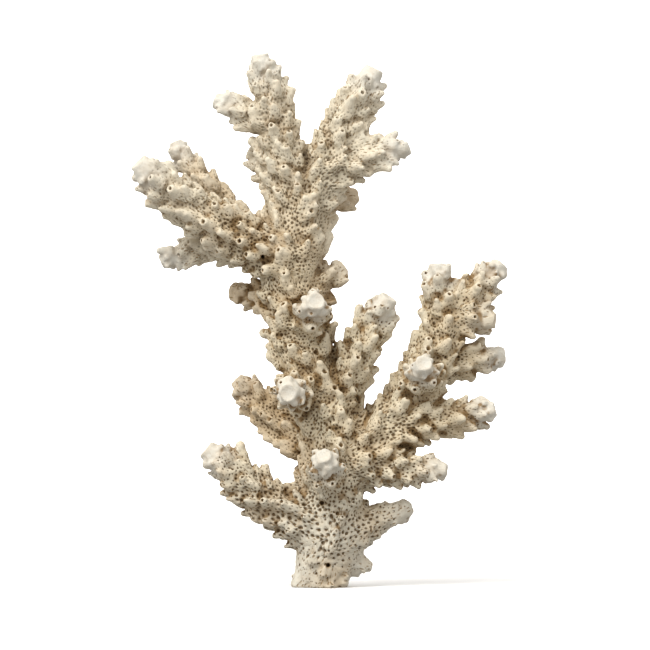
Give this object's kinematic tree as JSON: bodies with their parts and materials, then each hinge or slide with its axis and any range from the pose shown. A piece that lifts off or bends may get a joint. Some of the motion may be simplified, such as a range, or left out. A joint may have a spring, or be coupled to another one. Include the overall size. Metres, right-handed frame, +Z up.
{
  "type": "branching coral",
  "caption": "Dried branching stony coral skeleton with knobbly, pitted branches, cut off flat at the foot so that it stands upright.",
  "frame": {"origin": "middle of the flat cut at the foot, on the surface that the coral stands on", "axes": "+Z up along the height, X across the broad fan of branches, the side with the three front stubs facing -Y"},
  "size_m": [0.1114, 0.0425, 0.1599],
  "materials": {
    "coral_foot": "matte",
    "coral_branch": "matte",
    "coral_tip": "matte"
  },
  "bodies": {
    "root": {"base_trunk": "coral_foot", "mid_trunk": "coral_branch", "upper_trunk": "coral_branch", "top_branch": "coral_tip", "top_side_branch": "coral_tip", "upper_right_branch": "coral_tip", "upper_right_side_branch": "coral_tip", "left_front_branch": "coral_tip", "left_rear_branch": "coral_tip", "left_lower_branch": "coral_tip", "mid_branchlet": "coral_branch", "rear_left_branch": "coral_branch", "lower_left_branch": "coral_branch", "lower_right_branch": "coral_branch", "right_spur": "coral_branch", "right_main_branch": "coral_branch", "right_lower_side_branch": "coral_branch", "right_upper_side_branch": "coral_branch", "right_inner_tip": "coral_tip", "right_outer_tip": "coral_tip"}
  },
  "joints": []
}
